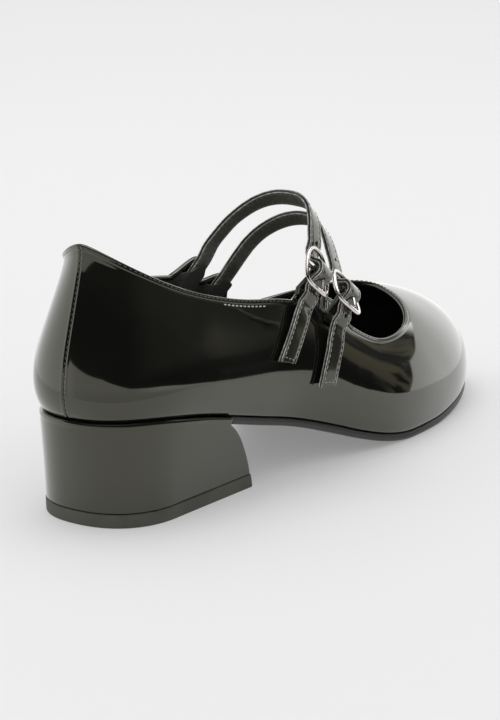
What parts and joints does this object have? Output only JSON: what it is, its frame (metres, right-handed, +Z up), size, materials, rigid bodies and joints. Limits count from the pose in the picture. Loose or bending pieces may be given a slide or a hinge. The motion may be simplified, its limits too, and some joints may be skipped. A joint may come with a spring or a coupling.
{
  "type": "mary jane shoe",
  "caption": "Right-foot mary jane shoe in patent leather with buckled straps over the instep, a closed round toe and a low block heel.",
  "frame": {"origin": "centre of the bounding box at the floor plane that heel and forefoot stand on", "axes": "+Y towards the toe, +Z up, +X towards the outer side of the right foot"},
  "size_m": [0.0819, 0.2415, 0.1004],
  "materials": {
    "patent_leather": "high gloss patent coating",
    "strap_leather": "patent outside, matt lining inside, pale cut edges",
    "sole_resin": "matt",
    "top_piece_rubber": "matt",
    "insole_leather": "matt lining",
    "buckle_steel": "polished plate"
  },
  "bodies": {
    "root": {"upper": "patent_leather", "outsole": "sole_resin", "insole": "insole_leather", "heel_block": "patent_leather", "heel_top_piece": "top_piece_rubber", "strap_rear": "strap_leather", "strap_front": "strap_leather", "loop_rear": "strap_leather", "loop_front": "strap_leather", "buckle_frame_rear": "buckle_steel", "buckle_frame_front": "buckle_steel", "buckle_prong_rear": "buckle_steel", "buckle_prong_front": "buckle_steel"}
  },
  "joints": []
}
